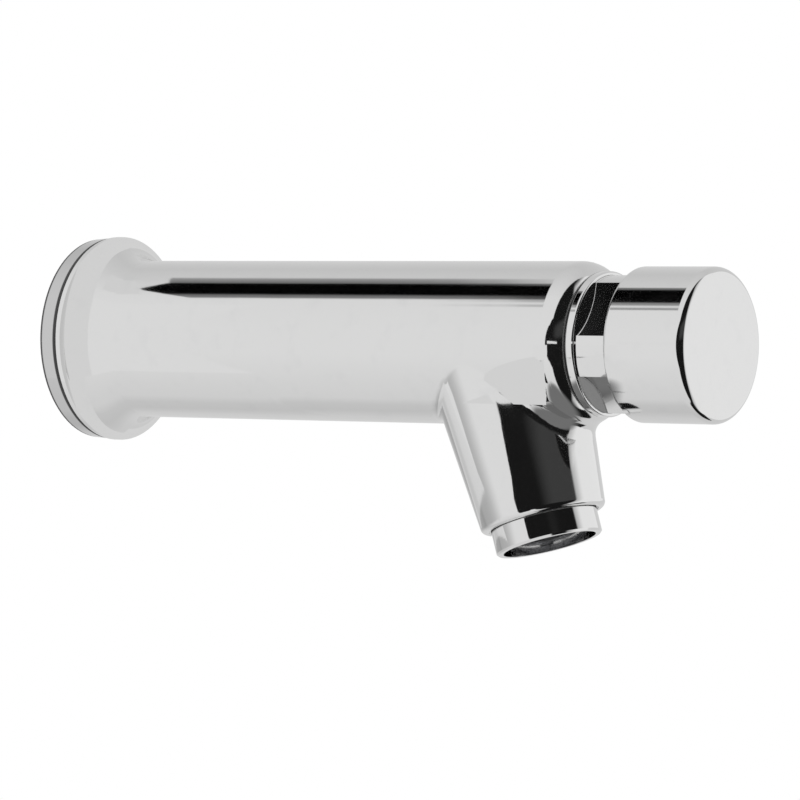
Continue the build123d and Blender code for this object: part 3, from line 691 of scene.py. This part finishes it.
# Aerator insert: two walls with vanes and a honeycomb
outer_wall = [(36.5, 9.8), (36.5, 10.65), (42.6, 10.65), (42.6, 10), (42.2, 9.8)]
inner_wall = [(36.5, 6.05), (36.5, 7), (42.3, 7), (42.3, 6.4), (39, 6.05)]
former_sizes = {
    "low": 36.6,
    "high": 42.2,
    "inner": 6.9,
    "outer": 9.9,
    "sheet": 0.5,
    "vanes": 18,
    "cell": 1.9,
    "rows": 9,
}
insert = ringed("insert", [outer_wall, inner_wall], spout_axis)
grown("aerator_insert", insert, former_sizes, jet_former)

# The return spring, which in use shortens towards the spider by the button's stroke: here a smooth-shaded
# copy of its mesh in the node's place
coil = nodes["return_spring"].data.copy()
coil.transform(nodes["return_spring"].matrix_world)
if "custom_normal" in coil.attributes:
    coil.attributes.remove(coil.attributes["custom_normal"])
spring = replace("return_spring", tidied(coil, sharpest=60))
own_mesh(spring)


# Studio: a pale room with dark cards that only reflections see
world = bpy.data.worlds.new("studio")
bpy.context.scene.world = world
world.use_nodes = True
sky = Wiring(world.node_tree)
along, across, height = coordinates(sky, "Generated")
round_tube = height.math("ARCTAN2", height, -across) * (180 / pi)
dark = 0.009

# The room's tones around the tube, by degrees from its near side, rising over its top
room_stops = [
    (-180, 0.70),
    (-137, 0.70),
    (-117, 0.63),
    (-102, 0.66),
    (-89, 0.76),
    (-57, 0.80),
    (-20, 0.85),
    (15, 0.85),
    (61, 0.83),
    (100, 0.70),
    (124, 0.64),
    (147, 0.68),
    (180, 0.70),
]

# A dark strip overhead darkens them, with edges of its own for the button
strip_stops = {
    "tube": [
        (61, 1),
        (63, 0.3),
        (67, 0.2),
        (69.5, 0),
        (88.5, 0),
        (90, 0.22),
        (99, 0.5),
        (102, 1),
    ],
    "button": [
        (50, 1),
        (51, 0.42),
        (53.5, 0.42),
        (55, 0.95),
        (57, 0.9),
        (58.5, 0.4),
        (62.5, 0.25),
        (63.5, 0),
        (85.5, 0),
        (87, 0.2),
        (90, 0.3),
        (91.5, 1),
    ],
}
strips = {name: tones(round_tube, 45, 105, stops) for name, stops in strip_stops.items()}
strip = blend(step(along, -0.56, -0.53), strips["tube"], strips["button"])
strip = blend(step(along, -0.5, -0.46), strip, grey(1))
wall_side = blend(1 - step(along, -0.95, -0.6), grey(1), grey(0.6))
above = times(times(tones(round_tube, -180, 180, room_stops), strip), wall_side)

# The dark side in front of the tap, further out for steep reflections, with a panel and a dull glint
level_gap = height.math("ABSOLUTE", height)
steep = 1.5 * level_gap * level_gap
card_edge = 0.04 + steep.math("MINIMUM", steep, 0.4)
# It reaches back low down on the far side, and the pale panel stands beside that
low_back = step(across, -0.05, 0.05) * step(-height, 0.6, 0.66) * band(along, 0.14, 0.49, 0.02)
card = larger(step(along - card_edge, -0.02, 0.02), low_back)
panel = step(across, 0.15, 0.24) * (1 - step(level_gap, 0.7, 0.85)) * (1 - low_back)
panel_tone = blend(step(across, 0.2, 0.5), grey(0.55), grey(0.92))
glint = step(along, 0.5, 0.85) * band(height, 0.1, 0.36, 0.06)
dark_side = blend(glint, grey(dark), grey(0.05))

# Reflections see all of that, the camera white, and other light a plain pale room
mirrored = blend(card * (1 - panel), blend(card * panel, above, panel_tone), dark_side)
rays = {name: sky.add("ShaderNodeLightPath", {}, {}, name) for name in ("Is Camera Ray", "Is Glossy Ray")}
plain = blend(rays["Is Glossy Ray"], grey(0.8), mirrored)
seen = blend(rays["Is Camera Ray"], plain, grey(1))
glow = sky.add("ShaderNodeBackground", {}, {"Color": seen, "Strength": 1})
sky.add("ShaderNodeOutputWorld", {}, {"Surface": glow})


def stand(name, corners):
    """A flat stage piece with its corners in millimetres, and the wiring of its material."""
    mesh = bpy.data.meshes.new(name)
    mesh.from_pydata([Vector(corner) * mm for corner in corners], [], [range(len(corners))])
    board = bpy.data.objects.new(name, mesh)
    bpy.context.scene.collection.objects.link(board)
    material = bpy.data.materials.new(name)
    material.use_nodes = True
    mesh.materials.append(material)
    return board, Wiring(material.node_tree)


def partly_clear(wiring, share, shader):
    """Closes a stage piece's material. It is clear where the share is 1."""
    clear = wiring.add("ShaderNodeBsdfTransparent", {}, {})
    both = wiring.add("ShaderNodeMixShader", {}, {0: share, 1: shader, 2: clear})
    wiring.add("ShaderNodeOutputMaterial", {}, {"Surface": both})


def sheet(name, corners, tone, only_glossy=True, soft=False):
    """A sheet that glows on the side its corners run anticlockwise and is clear from behind.

    Its tone is one number or (across in millimetres, tone) pairs. A soft one fades out to its edges.
    """
    board, wiring = stand(name, corners)
    hidden = wiring.add("ShaderNodeNewGeometry", {}, {}, "Backfacing")
    if isinstance(tone, list):
        tone = tones(coordinates(wiring, "Object")[1] / mm, -100, 100, tone)
    else:
        tone = grey(tone)
    if soft:
        offsets = [spot - 0.5 for spot in coordinates(wiring, "Generated")[:2]]
        reach = offsets[0] * offsets[0] + offsets[1] * offsets[1]
        hidden = larger(hidden, step(reach, 0.08, 0.24))
    partly_clear(wiring, hidden, wiring.add("ShaderNodeEmission", {}, {"Color": tone, "Strength": 1}))
    board.visible_camera = not only_glossy
    board.visible_glossy = only_glossy
    board.visible_diffuse = False
    board.visible_transmission = False
    board.visible_shadow = False


# The wall behind the tap, white and only seen from its front
far = 3000
wall = -0.2
wall_corners = [(wall, -far, -far), (wall, far, -far), (wall, far, far), (wall, -far, far)]
sheet("wall", wall_corners, 1, only_glossy=False)

# Pale screens that keep the dark side off the tube and the flange
screen = 118
screen_corners = [(screen, far, -far), (screen, -far, -far), (screen, -far, far), (screen, far, far)]
sheet("screen_front", screen_corners, 0.78)
hood = 60
hood_back = -400
sheet(
    "hood_top",
    [
        (hood_back, hood, hood),
        (-5, hood, hood),
        (-5, -14, hood),
        (-15, -25, hood),
        (-15, -28, hood),
        (-5, -42, hood),
        (-5, -hood, hood),
        (hood_back, -hood, hood),
    ],
    [(-60, 0.84), (-41, 0.83), (-15, 0.745), (-8, 0.71), (19, 0.64), (60, 0.68)],
)
sheet(
    "hood_side",
    [(10, -hood, -hood), (hood_back, -hood, -hood), (hood_back, -hood, hood), (10, -hood, hood)],
    0.85,
)
sheet(
    "hood_foot",
    [(hood_back, hood, -hood), (hood_back, -hood, -hood), (30, -hood, -hood), (30, hood, -hood)],
    [(-60, 0.81), (-42, 0.79), (-26, 0.77), (-10, 0.75), (3, 0.66), (19, 0.63), (47, 0.70)],
)

# Cards and screens close to the spout, the neck and the flange, each for the reflections in one place
near = -40
spout_card = [
    (129.8, near, -13.7),
    (132.5, near, -13.7),
    (132.5, near, -22),
    (135, near, -28),
    (135, near, -42),
    (128.4, near, -42),
    (126.8, near, -38),
    (128.7, near, -32),
    (128.7, near, -20),
]
spout_screen = [
    (146, near, -2),
    (146, near, -9),
    (139, near, -12),
    (130.5, near, -13.6),
    (124, near, -13.6),
    (124, near, -2),
]
sheet("spout_card", spout_card, dark)
sheet("spout_screen", spout_screen, 0.84)
sheet("line_card", [(176, near, 1), (176, near, -1), (146, near, -1), (146, near, 1)], 0.84)
sheet("shelf", [(118, -48, -14.3), (138, -48, -14.3), (138, -11, -14.3), (118, -11, -14.3)], 0.78)
sheet("corner_card", [(130.6, -26, -23.9), (133.4, -26, -23.9), (133.4, -8, -23.9), (130.6, -8, -23.9)], dark)
sheet("skirt_card", [(138.5, -22, -37), (138.5, -22, -45), (133.3, -22, -45), (130.4, -22, -37)], dark)
sheet("gusset_card", [(132, -30, -24), (152, -30, -24), (152, 2, -24), (132, 2, -24)], 0.19, soft=True)
sheet("neck_screen", [(141, -42, -34), (141, -21, -34), (141, -21, -9), (141, -42, -9)], 0.82)
sheet("notch_screen", [(0, -12, 30), (7.5, -12, 30), (7.5, -24, 30), (0, -24, 30)], 0.76)

# Floor: pale, with the tap's soft shadow, fading out into the white background and clear from below
floor_middle = 100
floor_reach = 500
floor_height = -200
fade_start = 250
floor_sides = 64
turns = [2 * pi * side / floor_sides for side in range(floor_sides)]
rim = [(floor_reach * cos(turn), floor_reach * sin(turn)) for turn in turns]
floor, wiring = stand("floor", [(floor_middle + x, y, floor_height) for x, y in rim])
x_place, y_place, _ = coordinates(wiring, "Object")
x_place = x_place - floor_middle * mm
reach = root(x_place * x_place + y_place * y_place)
underside = wiring.add("ShaderNodeNewGeometry", {}, {}, "Backfacing")
fade = larger(underside, step(reach, fade_start * mm, floor_reach * mm))
partly_clear(wiring, fade, wiring.add("ShaderNodeBsdfDiffuse", {}, {"Color": grey(0.93)}))
floor.visible_glossy = False

# A large soft lamp overhead, for the shadow and the matt pieces
lamp = bpy.data.objects.new("soft_lamp", bpy.data.lights.new("soft_lamp", "AREA"))
lamp_target = Vector((0.1, 0, 0))
lamp.data.shape = "DISK"
lamp.data.size = 0.5
lamp.data.energy = 2.4
lamp.location = (0.25, -0.3, 0.7)
lamp.rotation_euler = (lamp_target - lamp.location).to_track_quat("-Z", "Y").to_euler()
lamp.visible_glossy = False
lamp.visible_camera = False
bpy.context.scene.collection.objects.link(lamp)

# Camera at the photograph's angle
azimuth = radians(34.5)
elevation = radians(-0.49)
roll = radians(1.5)
distance = 1136
target = Vector((89.09, 0, -13.69)) * mm
back = Vector((sin(azimuth) * cos(elevation), -cos(azimuth) * cos(elevation), sin(elevation)))
level = Vector((cos(azimuth), sin(azimuth), 0))
upright = back.cross(level)
right = cos(roll) * level + sin(roll) * upright
up = cos(roll) * upright - sin(roll) * level
eye = target + back * distance * mm
camera = bpy.data.objects.new("camera", bpy.data.cameras.new("camera"))
camera.data.lens = 217.5
camera.data.sensor_width = 36
camera.data.clip_start = 0.05
bpy.context.scene.collection.objects.link(camera)
camera.matrix_world = Matrix(
    (
        (right.x, up.x, back.x, eye.x),
        (right.y, up.y, back.y, eye.y),
        (right.z, up.z, back.z, eye.z),
        (0, 0, 0, 1),
    )
)
bpy.context.scene.camera = camera
bpy.context.scene.view_settings.view_transform = "Standard"
